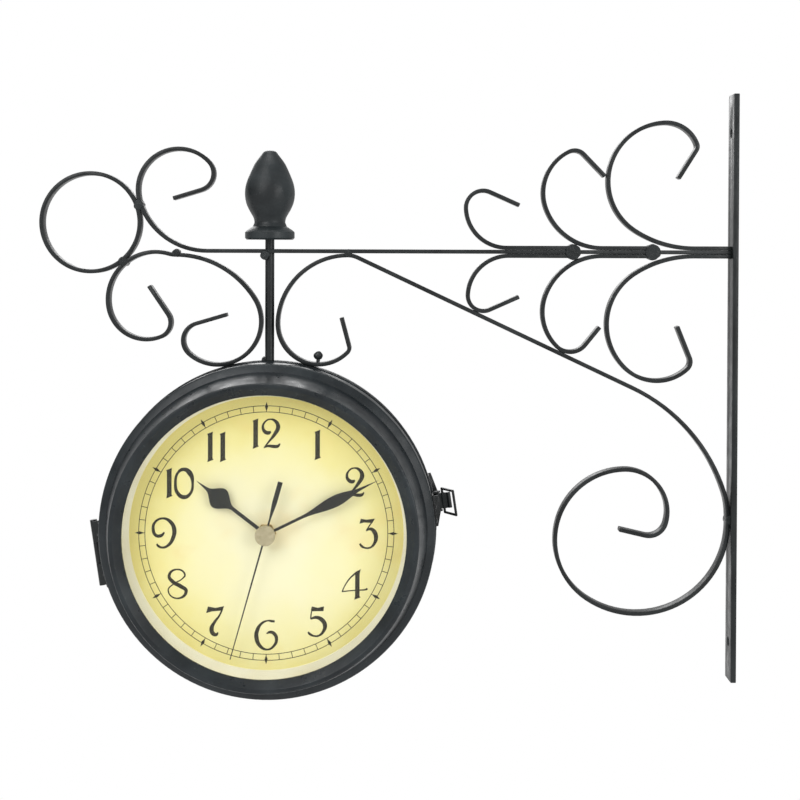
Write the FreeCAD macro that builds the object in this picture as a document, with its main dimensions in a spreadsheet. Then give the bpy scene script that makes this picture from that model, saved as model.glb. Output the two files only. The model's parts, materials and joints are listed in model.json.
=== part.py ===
"""Double sided station clock on a wrought-iron wall bracket.

Millimetres. Z is up and X is the wall's outward normal reversed: the wall plate's back lies in
the plane X = 0, the bracket reaches to -X, and the clock's two faces look along -Y and +Y.
"""
import FreeCAD, Part
import math
import os
import Sketcher

from FreeCAD import Placement, Rotation, Vector

doc = FreeCAD.newDocument("station_clock")
sheet = doc.addObject("Spreadsheet::Sheet", "sizes")

SIZES = {
    # wall plate
    "plate_length": 320.0, "plate_width": 16.0, "plate_thickness": 3.0,
    "screw_spacing": 278.0, "screw_hole_radius": 2.6,
    # flat bar used for every scroll
    "bar_thickness": 2.2, "bar_depth": 8.0,
    # heights and places along the arm
    "arm_height": 74.0, "arm_scroll_foot": 288.5, "ring_radius": 27.8,
    "weld_gap": 0.02, "bow_clearance": 0.9,
    # scroll up from the arm's free end: shoulder, bow, curl, tip
    "arm_shoulder_radius": 38.5, "arm_shoulder_angle": 71.0, "arm_bow_radius": 22.3,
    "arm_bow_angle": 156.0, "arm_curl_radius": 9.3, "arm_curl_angle": 116.0, "arm_tip": 16.0,
    # left bar, its left half
    "left_kick_radius": 14.0, "left_kick_angle": 16.0, "left_shoulder_radius": 26.0,
    "left_shoulder_angle": 114.0, "left_bow_radius": 21.0, "left_bow_angle": 104.0,
    "left_curl_radius": 8.3, "left_curl_angle": 102.0, "left_tip": 18.5,
    # left bar, its right half, down to the clock
    "foot_shoulder_radius": 50.5, "foot_bow_radius": 23.6, "foot_scroll_angle": 221.5,
    "foot_curl_radius": 9.6, "foot_curl_angle": 122.0, "foot_tip": 17.8,
    # brace bar, its scroll above the clock
    "brace_shoulder_radius": 38.3, "brace_bow_radius": 22.3, "brace_scroll_angle": 225.0,
    "brace_curl_radius": 3.5, "brace_curl_angle": 60.0, "brace_tip": 16.3,
    # brace bar, its run to the wall and the big scroll
    "brace_top_radius": 12.0, "brace_slope": 25.2, "brace_heel_radius": 95.0,
    "brace_heel_angle": 47.0, "brace_ankle_radius": 42.0,
    "brace_wall_run": 4.0,
    "big_first_radius": 49.5, "big_first_angle": 124.0, "big_second_radius": 38.5,
    "big_second_angle": 145.0, "big_third_radius": 23.0, "big_third_angle": 107.0,
    "big_curl_radius": 9.6, "big_curl_angle": 87.0, "big_tip": 14.4,
    # small pair
    "small_tail": 35.0, "small_bow_radius": 22.2, "small_bow_angle": 88.0,
    "small_upper_curl_radius": 9.3, "small_upper_curl_angle": 116.0, "small_upper_lead": 1.2,
    "small_lower_curl_radius": 8.4, "small_lower_curl_angle": 116.0, "small_tip": 17.5,
    # middle pair
    "middle_tail": 27.5, "middle_shoulder_radius": 32.6, "middle_shoulder_angle": 70.0,
    "middle_upper_bow_radius": 24.9, "middle_upper_bow_angle": 84.0,
    "middle_upper_curl_radius": 6.9, "middle_upper_curl_angle": 72.0, "middle_upper_tip": 16.6,
    "middle_lower_bow_radius": 26.3, "middle_lower_bow_angle": 66.0,
    "middle_lower_curl_radius": 10.3, "middle_lower_curl_angle": 95.0, "middle_lower_tip": 12.6,
    # large pair
    "large_foot": 23.5, "large_shoulder_radius": 59.0, "large_shoulder_angle": 33.0,
    "large_bow_radius": 32.0, "large_bow_angle": 144.0, "large_neck_radius": 18.0,
    "large_neck_angle": 72.0, "large_curl_radius": 4.0, "large_curl_angle": 53.0,
    "large_tip": 18.0, "large_lower_bow_radius": 33.0, "large_lower_bow_angle": 104.0,
    "large_lower_neck_radius": 24.5, "large_lower_neck_angle": 86.0,
    "large_lower_curl_radius": 5.5, "large_lower_curl_angle": 69.0, "large_lower_tip": 18.4,
    # welds, post, finial
    "weld_radius": 2.6, "small_weld_radius": 2.1, "cluster_weld_radius": 4.2,
    "weld_proud": 0.5, "weld_round": 0.45, "foot_weld_start": 0.5,
    "post_radius": 2.5, "finial_seat": 6.2, "finial_bore_depth": 10.0,
    "finial_base_radius": 13.5, "finial_base_height": 5.0, "finial_flange_round": 0.9,
    "finial_collar_radius": 9.3, "finial_collar_height": 7.2,
    "finial_neck_radius": 8.4, "finial_neck_height": 9.3,
    "finial_waist_radius": 9.8, "finial_waist_height": 13.6,
    "finial_hip_radius": 12.4, "finial_hip_height": 18.6,
    "finial_belly_radius": 13.6, "finial_belly_height": 25.0,
    "finial_chest_radius": 12.8, "finial_chest_height": 30.8,
    "finial_shoulder_radius": 10.7, "finial_shoulder_height": 36.2,
    "finial_crown_radius": 7.6, "finial_crown_height": 42.4,
    "finial_tip_radius": 4.4, "finial_tip_height": 46.6, "finial_height": 48.6,
    "rivet_head_radius": 2.4, "rivet_shank_radius": 1.1, "rivet_shank_length": 1.6,
    "rivet_sink": 0.5, "rivet_place": 13.0, "rivet_seat": 0.06,
    # clock case: place, radii from the opening outwards, depths from the middle plane
    "clock_reach": 254.5, "post_reach": 59.7,
    "opening_radius": 75.2, "bezel_width": 6.6, "cove_rise": 2.8, "step_rise": 1.8,
    "drum_rise": 4.2, "seam_rise": 0.9,
    "seam_gap": 0.15, "seam_width": 2.4, "step_slope": 1.8, "step_inset": 0.5,
    "cove_reach": 6.5, "ridge_width": 2.4, "glass_inset": 3.5,
    "shell_wall": 1.2, "door_clearance": 0.3, "drum_round": 1.2, "ridge_round": 0.9,
    "glass_thickness": 2.0, "glass_clearance": 0.3, "glass_room": 3.2,
    "ring_wall": 1.4, "ring_face": 0.8, "ring_rise": 0.7, "ring_show": 1.6,
    "dial_thickness": 0.8,
    "dial_clearance": 0.4, "retainer_width": 3.0, "retainer_thickness": 1.2,
    # hinge and latch line, turned from level about the clock's axis
    "hinge_tilt": 8.5, "barrel_stand": 4.1, "barrel_radius": 1.9, "hinge_pin_radius": 1.0,
    "pin_clearance": 0.05, "barrel_length": 35.0, "pin_head_height": 0.6, "knuckle_gap": 0.2,
    "leaf_thickness": 1.0, "leaf_depth": 11.0, "web_thickness": 1.3, "web_seat": 0.05,
    "small_rivet_radius": 1.6, "small_rivet_height": 0.8, "small_rivet_spacing": 22.0,
    "leaf_rivet_margin": 3.2, "keeper_rivet_margin": 2.6,
    "catch_length": 30.0, "catch_depth": 12.0, "catch_flange_height": 3.9,
    "catch_flange_top": 12.0, "catch_flange_low": 2.4, "catch_pivot_height": 2.8,
    "catch_pivot_setback": 6.0,
    "catch_pin_radius": 0.8, "ear_thickness": 0.9, "ear_radius": 2.0, "lever_width": 8.6,
    "lever_gap": 0.4, "lever_length": 6.8, "lever_thickness": 1.1, "lever_offset": 1.4,
    "lever_knuckle": 1.6,
    "bail_throw": 3.0, "bail_knuckle": 1.4, "bail_wire_radius": 0.7, "bail_reach": 16.9,
    "bail_half_width": 6.6, "bail_rest_angle": 20.0,
    "catch_rivet_spacing": 22.0, "keeper_length": 13.0, "keeper_width": 11.0,
    "lip_width": 10.0, "lip_height": 3.4, "lip_thickness": 1.0, "lip_setback": 6.0,
    # movement behind each dial
    "movement_half_width": 28.0, "movement_above": 23.0, "movement_below": 33.0,
    "movement_back": 2.4, "movement_depth": 14.5, "movement_wall": 1.2, "lid_thickness": 1.0,
    "gasket_thickness": 0.8, "gasket_radius": 10.0,
    "battery_radius": 7.0, "battery_length": 49.2, "battery_nub_radius": 2.7,
    "battery_nub_length": 1.3, "contact_thickness": 0.4, "contact_width": 8.0,
    "bay_clearance": 0.15,
    "bush_radius": 3.0, "bush_bore": 2.2, "bush_flange_radius": 5.4, "bush_flange": 1.0,
    "bush_above_dial": 2.6, "nut_flats": 9.4,
    "nut_height": 2.0, "thread_fit": 0.05,
    "knob_radius": 5.5, "knob_height": 1.5, "knob_offset": 9.0, "knob_shaft_radius": 1.5,
    "knob_shaft_length": 6.0, "knob_notch_radius": 0.6,
    # hands
    "hand_thickness": 0.4, "hour_lift": 3.5, "minute_lift": 4.9, "second_lift": 6.3,
    "hour_tube_radius": 2.13, "minute_tube_radius": 1.4, "second_pin_radius": 0.7,
    "tube_clearance": 0.07, "tube_depth": 4.5,
    "hour_hub_radius": 4.6, "hour_length": 46.9, "hour_stem_width": 1.9,
    "hour_bulb_place": 31.5, "hour_bulb_width": 12.0, "hour_bulb_start": 22.5,
    "hour_spear_place": 40.0, "hour_spear_width": 1.6,
    "minute_hub_radius": 4.2, "minute_length": 66.9, "minute_stem_width": 1.5,
    "minute_leaf_place": 41.5, "minute_leaf_width": 6.2, "minute_leaf_start": 21.0,
    "minute_spear_place": 58.0, "minute_spear_width": 1.2,
    "second_hub_radius": 3.6, "second_length": 69.1, "second_tail": 29.5,
    "second_width": 1.0, "second_tail_width": 2.6, "second_tip_width": 0.5,
    "second_tail_start": 9.0,
    "cap_radius": 5.4, "cap_height": 2.4,
    "hour_angle": 307.6, "minute_angle": 64.0, "second_angle": 195.7,
}

for row, (alias, value) in enumerate(SIZES.items(), start=1):
    sheet.set(f"A{row}", alias.replace("_", " "))
    sheet.set(f"B{row}", str(value))
    sheet.setAlias(f"B{row}", alias)
doc.recompute()


def amount(text):
    """Value of a signed sum of named sizes, such as 'opening_radius + bezel_width'."""
    total, sign = 0.0, 1.0
    for word in text.split():
        if word in ("+", "-"):
            sign = 1.0 if word == "+" else -1.0
        elif word != "0":
            total += sign * float(sheet.get(word))
    return total


def bound(text):
    """The same sum as an expression on the sheet."""
    words = text.split()
    return " ".join(w if w in ("+", "-") else f"sizes.{w}" for w in words)


# ---- placements -------------------------------------------------------------------------------

RIDGE_RADIUS = "opening_radius + bezel_width"
COVE_RADIUS = RIDGE_RADIUS + " + cove_rise"
STEP_RADIUS = COVE_RADIUS + " + step_rise"
DRUM_RADIUS = STEP_RADIUS + " + drum_rise"
CASE_RADIUS = DRUM_RADIUS + " + seam_rise"

MOVEMENT_BACK = "movement_back + lid_thickness"
MOVEMENT_FRONT = MOVEMENT_BACK + " + movement_depth"
DIAL_BACK = MOVEMENT_FRONT + " + gasket_thickness"
DIAL_FACE = DIAL_BACK + " + dial_thickness"
CAP_BACK = DIAL_FACE + " + second_lift + hand_thickness"
GLASS_BACK = CAP_BACK + " + cap_height + glass_room"
GLASS_FACE = GLASS_BACK + " + glass_thickness"
LIP_DEPTH = GLASS_FACE + " + shell_wall"
RIDGE_DEPTH = LIP_DEPTH + " + glass_inset"
STEP_DEPTH = DIAL_FACE + " - step_inset"
DRUM_DEPTH = STEP_DEPTH + " - step_slope"
COVE_DEPTH = DIAL_FACE + " + cove_reach"

UPRIGHT = Rotation(Vector(1, 0, 0), 90)        # local XY becomes the bracket's XZ plane
ABOUT_FACE = Rotation(Vector(0, 0, 1), 180)
CLOCK_CENTRE = Vector(-amount("clock_reach"), 0,
                      amount("arm_height - post_reach") - amount(CASE_RADIUS))
BRACKET = Placement(Vector(0, 0, 0), UPRIGHT)
SIDES = {
    "front": Placement(CLOCK_CENTRE, UPRIGHT),
    "rear": Placement(CLOCK_CENTRE, ABOUT_FACE.multiply(UPRIGHT)),
}


# ---- modelling helpers --------------------------------------------------------------------------

nodes = {}


def new_body(label, placement):
    """A body that will be written as one sub-part."""
    body = doc.addObject("PartDesign::Body", label)
    body.Label = label
    body.Placement = placement
    nodes[label] = body
    return body


def new_sketch(body, role, offset="0"):
    """A sketch on one of the body's own origin planes, lifted by a named amount."""
    sketch = body.newObject("Sketcher::SketchObject", "outline")
    plane = [f for f in body.Origin.OriginFeatures if f.Role == role][0]
    sketch.AttachmentSupport = [(plane, "")]
    sketch.MapMode = "FlatFace"
    if offset != "0":
        sketch.setExpression("AttachmentOffset.Base.z", bound(offset))
    return sketch


def feature(body, kind, profile, **settings):
    """A PartDesign feature on a sketch; text settings become expressions."""
    made = body.newObject("PartDesign::" + kind, kind.lower())
    made.Profile = profile
    for name, value in settings.items():
        if name == "length":
            made.setExpression("Length", bound(value))
        else:
            setattr(made, name, value)
    profile.Visibility = False
    return made


def circle(sketch, radius, at=("0", "0")):
    """A circle whose radius and centre follow named sizes."""
    centre = Vector(amount(at[0]), amount(at[1]), 0)
    index = sketch.addGeometry(Part.Circle(centre, Vector(0, 0, 1), amount(radius)), False)
    pinned(sketch, index, 3, at)
    number = sketch.addConstraint(Sketcher.Constraint("Radius", index, amount(radius)))
    sketch.setExpression(f"Constraints[{number}]", bound(radius))


def pinned(sketch, index, point, at):
    """Hold a point at a named place: on the axes where the size is 0."""
    for kind, axis, text in (("DistanceX", -2, at[0]), ("DistanceY", -1, at[1])):
        if text == "0":
            sketch.addConstraint(Sketcher.Constraint("PointOnObject", index, point, axis))
            continue
        value = amount(text)
        number = sketch.addConstraint(Sketcher.Constraint(kind, -1, 1, index, point, value))
        sketch.setExpression(f"Constraints[{number}]", bound(text))


def outline(sketch, corners):
    """A closed outline of straight lines; each corner is a pair of named sums."""
    places = [Vector(amount(x), amount(y), 0) for x, y in corners]
    ends = places[1:] + places[:1]
    lines = [Part.LineSegment(a, b) for a, b in zip(places, ends)]
    sketch.addGeometry(lines, False)
    for i in range(len(lines)):
        nearby = (i + 1) % len(lines)
        sketch.addConstraint(Sketcher.Constraint("Coincident", i, 2, nearby, 1))
    for i, at in enumerate(corners):
        pinned(sketch, i, 1, at)


def turned(label, placement, corners):
    """A piece turned about the local Z axis from a closed half section (radius, height)."""
    body = new_body(label, placement)
    sketch = new_sketch(body, "XZ_Plane")
    outline(sketch, corners)
    feature(body, "Revolution", sketch, ReferenceAxis=(sketch, ["V_Axis"]), Angle=360.0)
    return body


def put(label, shape, placement=None):
    """A sub-part made from a worked-out shape."""
    made = doc.addObject("Part::Feature", label)
    made.Label = label
    made.Shape = shape
    if placement is not None:
        made.Placement = placement
    nodes[label] = made
    return made


# ---- bent flat bar ------------------------------------------------------------------------------

class Bend:
    """A path of tangent runs and bends in the bracket's plane, with its offset outline."""

    def __init__(self, x, z, heading):
        self.place = Vector(x, z, 0)
        self.heading = math.radians(heading)
        self.steps = []

    def run(self, length):
        start = self.place
        way = Vector(math.cos(self.heading), math.sin(self.heading), 0)
        self.place = start + way * length
        self.steps.append(("run", start, self.place, way))
        return self

    def bend(self, radius, turn):
        """Turn left for a positive angle, right for a negative one."""
        side = 1.0 if turn > 0 else -1.0
        left = Vector(-math.sin(self.heading), math.cos(self.heading), 0)
        centre = self.place + left * (side * radius)
        first = self.heading
        self.heading += math.radians(turn)
        left = Vector(-math.sin(self.heading), math.cos(self.heading), 0)
        self.place = centre - left * (side * radius)
        self.steps.append(("bend", centre, radius, side, first, self.heading))
        return self

    def follow(self, name, parts, way):
        """Bends and tip named NAME_PART_radius and NAME_PART_angle."""
        for part in parts:
            self.bend(amount(f"{name}_{part}_radius"), way * amount(f"{name}_{part}_angle"))
        return self

    def edge(self, offset):
        """Edges of the path moved sideways by offset, left positive."""
        edges = []
        for step in self.steps:
            if step[0] == "run":
                left = Vector(-step[3].y, step[3].x, 0) * offset
                edges.append(Part.LineSegment(step[1] + left, step[2] + left))
                continue
            centre, radius, side, first, last = step[1:]
            reach = radius - side * offset

            def on(angle):
                left = Vector(-math.sin(angle), math.cos(angle), 0)
                return centre - left * (side * reach)
            edges.append(Part.Arc(on(first), on((first + last) / 2), on(last)))
        return edges


def ends(curve):
    shape = curve.toShape()
    return shape.valueAt(shape.FirstParameter), shape.valueAt(shape.LastParameter)


def bar(label, *halves):
    """A flat bar bent along one path, or along two that leave the same place both ways."""
    half = amount("bar_thickness") / 2
    body = new_body(label, BRACKET)
    sketch = new_sketch(body, "XY_Plane")
    first = halves[0]
    one, other = first.edge(half), first.edge(-half)
    curves = one + other
    curves.append(Part.LineSegment(ends(one[-1])[1], ends(other[-1])[1]))
    if len(halves) == 2:
        back = halves[1]
        one_back, other_back = back.edge(-half), back.edge(half)
        curves += one_back + other_back
        curves.append(Part.LineSegment(ends(one_back[-1])[1], ends(other_back[-1])[1]))
    else:
        curves.append(Part.LineSegment(ends(one[0])[0], ends(other[0])[0]))
    sketch.addGeometry(curves, False)
    feature(body, "Pad", sketch, length="bar_depth", SideType="Symmetric")
    return body


# ---- bracket: paths -----------------------------------------------------------------------------

BAR = amount("bar_thickness")
TOUCH = amount("weld_gap")
ARM_Z = amount("arm_height")
UNDER_ARM = ARM_Z - BAR - TOUCH
OVER_ARM = ARM_Z + BAR + TOUCH
WALL_FACE = -amount("plate_thickness")


def standing_on_clock(name, side):
    """A bar's shoulder under the arm and its bow, which clears the post and stands on the case.

    side is -1 left of the post and +1 right of it. The shoulder turns until the bow stands.
    """
    shoulder, bow = amount(f"{name}_shoulder_radius"), amount(f"{name}_bow_radius")
    out = amount("post_radius + bow_clearance") + BAR / 2 + bow
    reach = amount(CASE_RADIUS) + TOUCH + BAR / 2 + bow
    drop = UNDER_ARM - CLOCK_CENTRE.z - math.sqrt(reach ** 2 - out ** 2)
    turn = math.acos((shoulder - drop) / (shoulder - bow))
    foot = CLOCK_CENTRE.x + side * (out + (shoulder - bow) * math.sin(turn))
    turn = math.degrees(turn)
    path = Bend(foot, UNDER_ARM, 180 if side > 0 else 0).bend(shoulder, side * turn)
    return foot, path.bend(bow, side * (amount(f"{name}_scroll_angle") - turn))


def touching_centre(one, other, radius):
    """Centre, on the left, of a circle that touches two bends from outside."""
    reach = [bend[2] + BAR / 2 + TOUCH + radius for bend in (one, other)]
    apart = other[1] - one[1]
    along = (reach[0] ** 2 - reach[1] ** 2 + apart.Length ** 2) / (2 * apart.Length)
    across = math.sqrt(reach[0] ** 2 - along ** 2)
    unit = apart * (1 / apart.Length)
    return one[1] + unit * along + Vector(unit.y, -unit.x, 0) * across


def touched(bend, centre):
    """True where a circle's centre lies beside the bend's own stretch of arc."""
    way = centre - bend[1]
    heading = math.atan2(way.y, way.x) + bend[3] * math.pi / 2
    low, high = sorted(bend[4:6])
    turns = math.ceil((low - heading) / (2 * math.pi))
    return heading + turns * 2 * math.pi <= high


def ring_contact(ones, others, radius):
    """The ring's centre and the two bends that it rests against."""
    for one in ones:
        for other in others:
            centre = touching_centre(one, other, radius)
            if touched(one, centre) and touched(other, centre):
                return centre, one, other
    return touching_centre(ones[0], others[0], radius), ones[0], others[0]


arm = Bend(WALL_FACE, ARM_Z, 180).run(amount("arm_scroll_foot - plate_thickness"))
arm.follow("arm", ("shoulder", "bow", "curl"), -1).run(amount("arm_tip"))
LEFT_FOOT, left_out = standing_on_clock("foot", -1)
left_out.follow("foot", ("curl",), -1).run(amount("foot_tip"))
left_in = Bend(LEFT_FOOT, UNDER_ARM, 180).follow("left", ("kick",), -1)
left_in.follow("left", ("shoulder", "bow", "curl"), 1).run(amount("left_tip"))
RING_CENTRE, arm_side, left_side = ring_contact(arm.steps[1:3], left_in.steps[1:3],
                                                amount("ring_radius"))

BRACE_TOP, brace_in = standing_on_clock("brace", 1)
brace_in.follow("brace", ("curl",), 1).run(amount("brace_tip"))


def brace_run(length):
    """The brace from its weld under the arm down to the wall plate."""
    slope = amount("brace_slope")
    path = Bend(BRACE_TOP, UNDER_ARM, 0).bend(amount("brace_top_radius"), -slope).run(length)
    path.bend(amount("brace_heel_radius"), -amount("brace_heel_angle"))
    return path.bend(amount("brace_ankle_radius"), slope + amount("brace_heel_angle") - 90)


short_of_wall = WALL_FACE - TOUCH - BAR / 2 - brace_run(0.001).place.x
brace_out = brace_run(short_of_wall / math.cos(math.radians(amount("brace_slope"))))
BRACE_FOOT = brace_out.place
brace_out.run(amount("brace_wall_run"))
for part in ("first", "second", "third", "curl"):
    brace_out.bend(amount(f"big_{part}_radius"), -amount(f"big_{part}_angle"))
brace_out.run(amount("big_tip"))
BRACE_LINE = brace_out.steps[1]


def foot_on_brace(name, parts):
    """Where a lower C scroll leaves the arm so that its curl rests on the brace's straight run."""
    trial = Bend(0, UNDER_ARM, 180).follow(name, parts, 1)
    centre, radius = trial.steps[-1][1], trial.steps[-1][2]
    way = BRACE_LINE[3]
    off_line = (centre - BRACE_LINE[1]).dot(Vector(-way.y, way.x, 0))
    wanted = radius + BAR + TOUCH
    return (wanted - off_line) / -way.y


def c_scroll(foot, parts, tail, tip, above):
    """A tail along the arm, then bends away from it, above or below."""
    level, way = (OVER_ARM, -1) if above else (UNDER_ARM, 1)
    path = Bend(foot + tail, level, 180).run(tail)
    for part in parts:
        path.bend(amount(f"{part}_radius"), way * amount(f"{part}_angle"))
    return path.run(amount(tip))


SMALL_FOOT = foot_on_brace("small", ("bow", "lower_curl"))
MIDDLE_LOWER = ("middle_shoulder", "middle_lower_bow", "middle_lower_curl")
MIDDLE_UPPER = ("middle_shoulder", "middle_upper_bow", "middle_upper_curl")
MIDDLE_FOOT = foot_on_brace("middle", ("shoulder", "lower_bow", "lower_curl"))
LARGE_UPPER = ("large_shoulder", "large_bow", "large_neck", "large_curl")
LARGE_LOWER = ("large_shoulder", "large_lower_bow", "large_lower_neck", "large_lower_curl")
LARGE_FOOT = -amount("large_foot")
LARGE_TAIL = WALL_FACE - TOUCH - LARGE_FOOT
SMALL_UPPER = ("small_bow", "small_upper_curl")
SMALL_LOWER = ("small_bow", "small_lower_curl")
SMALL_LEAD = amount("small_upper_lead")

# ---- bracket: pieces ----------------------------------------------------------------------------

plate = new_body("wall_plate", Placement(Vector(0, 0, 0), Rotation(Vector(0, 1, 0), -90)))
plate_sketch = new_sketch(plate, "XY_Plane")
half_long, half_wide = amount("plate_length") / 2, amount("plate_width") / 2
corners = [(-half_long, -half_wide), (half_long, -half_wide), (half_long, half_wide),
           (-half_long, half_wide)]
places = [Vector(x, y, 0) for x, y in corners]
plate_sketch.addGeometry([Part.LineSegment(a, b) for a, b in zip(places, places[1:] + places[:1])],
                         False)
for way in (-1, 1):
    centre = Vector(way * amount("screw_spacing") / 2, 0, 0)
    plate_sketch.addGeometry(Part.Circle(centre, Vector(0, 0, 1), amount("screw_hole_radius")))
feature(plate, "Pad", plate_sketch, length="plate_thickness")

arm_body = bar("arm_bar", arm)
post_hole = new_sketch(arm_body, "XZ_Plane")
post_hole.addGeometry(Part.Circle(Vector(CLOCK_CENTRE.x, 0, 0), Vector(0, 0, 1),
                                  amount("post_radius")))
feature(arm_body, "Pocket", post_hole, Type="ThroughAll", SideType="Symmetric")

bar("left_scroll", left_in, left_out)
bar("brace_scroll", brace_in, brace_out)
bar("small_scroll_upper", c_scroll(SMALL_FOOT - SMALL_LEAD, SMALL_UPPER,
                                   amount("small_tail") + SMALL_LEAD, "small_tip", True))
bar("small_scroll_lower", c_scroll(SMALL_FOOT, SMALL_LOWER, amount("small_tail"),
                                   "small_tip", False))
bar("middle_scroll_upper", c_scroll(MIDDLE_FOOT, MIDDLE_UPPER, amount("middle_tail"),
                                    "middle_upper_tip", True))
bar("middle_scroll_lower", c_scroll(MIDDLE_FOOT, MIDDLE_LOWER, amount("middle_tail"),
                                    "middle_lower_tip", False))
bar("large_scroll_upper", c_scroll(LARGE_FOOT, LARGE_UPPER, LARGE_TAIL, "large_tip", True))
bar("large_scroll_lower", c_scroll(LARGE_FOOT, LARGE_LOWER, LARGE_TAIL, "large_lower_tip",
                                   False))

ring = new_body("end_ring", BRACKET)
ring_sketch = new_sketch(ring, "XY_Plane")
for radius in (amount("ring_radius"), amount("ring_radius - bar_thickness")):
    ring_sketch.addGeometry(Part.Circle(RING_CENTRE, Vector(0, 0, 1), radius))
feature(ring, "Pad", ring_sketch, length="bar_depth", SideType="Symmetric")

CASE_TOP = CLOCK_CENTRE.z + amount(CASE_RADIUS)
POST_TOP = ARM_Z + amount("finial_seat + finial_bore_depth")
post = doc.addObject("Part::Cylinder", "hanger_post")
post.Label = "hanger_post"
post.setExpression("Radius", "sizes.post_radius")
post.Height = POST_TOP - CASE_TOP
post.Placement = Placement(Vector(CLOCK_CENTRE.x, 0, CASE_TOP), Rotation())
nodes["hanger_post"] = post


def finial_shape():
    """Acorn finial, turned about Z, with a blind bore for the post."""
    base, flange = amount("finial_base_radius"), amount("finial_base_height")
    eased = amount("finial_flange_round")
    places = [Vector(amount(f"finial_{part}_radius"), 0, amount(f"finial_{part}_height"))
              for part in ("collar", "neck", "waist", "hip", "belly", "chest", "shoulder",
                           "crown", "tip")]
    top = Vector(0, 0, amount("finial_height"))
    curve = Part.BSplineCurve()
    curve.interpolate(Points=places[1:] + [top], InitialTangent=Vector(0, 0, 1),
                      FinalTangent=Vector(-1, 0, 0))
    bore, depth = amount("post_radius"), amount("finial_bore_depth")
    path = [Vector(bore, 0, 0), Vector(base - eased, 0, 0), Vector(base, 0, eased),
            Vector(base, 0, flange - eased), Vector(base - eased, 0, flange)] + places[:2]
    edges = [Part.LineSegment(a, b).toShape() for a, b in zip(path, path[1:])]
    edges.append(curve.toShape())
    back = [top, Vector(0, 0, depth), Vector(bore, 0, depth), Vector(bore, 0, 0)]
    edges += [Part.LineSegment(a, b).toShape() for a, b in zip(back, back[1:])]
    face = Part.Face(Part.Wire(Part.sortEdges(edges)[0]))
    return face.revolve(Vector(0, 0, 0), Vector(0, 0, 1), 360)


put("finial", finial_shape(),
    Placement(Vector(CLOCK_CENTRE.x, 0, ARM_Z + amount("finial_seat")), Rotation()))


def radial(angle_from_top, radius, y):
    """A place about the clock's axis, the angle measured from the top towards the wall."""
    angle = math.radians(angle_from_top)
    return CLOCK_CENTRE + Vector(radius * math.sin(angle), y, radius * math.cos(angle))


def foot_angle(path):
    """Angle from the top at which a bar's bow, its second bend, rests on the clock."""
    centre = path.steps[1][1]
    return math.degrees(math.atan2(centre.x - CLOCK_CENTRE.x, centre.y - CLOCK_CENTRE.z))


bow_place, bow_radius = brace_in.steps[1][1:3]
bow_centre = Vector(bow_place.x, 0, bow_place.y)
rivet_way = Rotation(Vector(0, 1, 0), -amount("rivet_place")).multVec(bow_centre - CLOCK_CENTRE)
rivet_way.normalize()
rivet_foot = bow_centre - rivet_way * (bow_radius - BAR / 2 - amount("rivet_seat"))
shank = Part.makeCylinder(amount("rivet_shank_radius"), amount("rivet_shank_length"),
                          rivet_foot, rivet_way)
head = Part.makeSphere(amount("rivet_head_radius"),
                       rivet_foot + rivet_way * amount("rivet_shank_length + rivet_head_radius"
                                                       " - rivet_sink"))
put("foot_rivet", shank.fuse(head).removeSplitter())


def bead(x, z, radius, depth_low, depth_high):
    """A weld bead across the bars: a short cylinder with softened rims."""
    start = Vector(x, depth_low, z)
    blank = Part.makeCylinder(radius, depth_high - depth_low, start, Vector(0, 1, 0))
    rims = [e for e in blank.Edges if len(e.Vertexes) == 1 and e.Closed]
    return blank.makeFillet(amount("weld_round"), rims)


def beside(bend, toward):
    """The place on a bend's outer side nearest to another centre."""
    way = toward - bend[1]
    return bend[1] + way * ((bend[2] + BAR / 2) / way.Length)


weld, small_weld = amount("weld_radius"), amount("small_weld_radius")
cluster_weld = amount("cluster_weld_radius")
proud = amount("bar_depth") / 2 + amount("weld_proud")
weld_places = [(beside(arm_side, RING_CENTRE), weld), (beside(left_side, RING_CENTRE), weld),
               (Vector(BRACE_TOP, ARM_Z - BAR / 2, 0), small_weld),
               (Vector(LEFT_FOOT, ARM_Z - BAR / 2, 0), small_weld),
               (Vector(SMALL_FOOT + amount("small_tail"), ARM_Z, 0), cluster_weld),
               (Vector(MIDDLE_FOOT + amount("middle_tail"), ARM_Z, 0), cluster_weld),
               (Vector(BRACE_FOOT.x + BAR / 2, BRACE_FOOT.y - amount("brace_wall_run") / 2, 0),
                weld)]
shapes = [bead(at.x, at.y, radius, -proud, proud) for at, radius in weld_places]
for path in (left_out, brace_in):
    foot = radial(foot_angle(path), amount(CASE_RADIUS), 0)
    shapes.append(bead(foot.x, foot.z, small_weld, amount("foot_weld_start"), proud))
shapes.append(bead(CLOCK_CENTRE.x - amount("post_radius"), CASE_TOP, small_weld,
                   amount("foot_weld_start"), proud))
shapes.append(bead(CLOCK_CENTRE.x - amount("post_radius"), ARM_Z - BAR, weld, -proud, proud))


def all_of(shapes):
    """One shape that holds several solids."""
    return shapes[0].multiFuse(shapes[1:]) if len(shapes) > 1 else shapes[0]


def shape_of(label):
    """A sub-part's shape where it lies."""
    doc.recompute()
    return nodes[label].Shape


# ---- case shells, glasses, rings, dials -----------------------------------------------------------

def rounded(body, radius, places):
    """Round the circular edges that lie at the named (radius, height) places."""
    doc.recompute()
    base = body.Tip
    picked = []
    for number, edge in enumerate(base.Shape.Edges, start=1):
        curve = edge.Curve
        if not isinstance(curve, Part.Circle):
            continue
        local = body.Placement.inverse().multVec(curve.Center)
        for place in places:
            near = abs(curve.Radius - amount(place[0])) < 1e-4
            if near and min(abs(local.z - amount(place[1])), abs(curve.Center.z -
                                                                 amount(place[1]))) < 1e-4:
                picked.append(f"Edge{number}")
    made = body.newObject("PartDesign::Fillet", "rounding")
    made.Base = (base, picked)
    made.setExpression("Radius", bound(radius))
    return made


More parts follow.
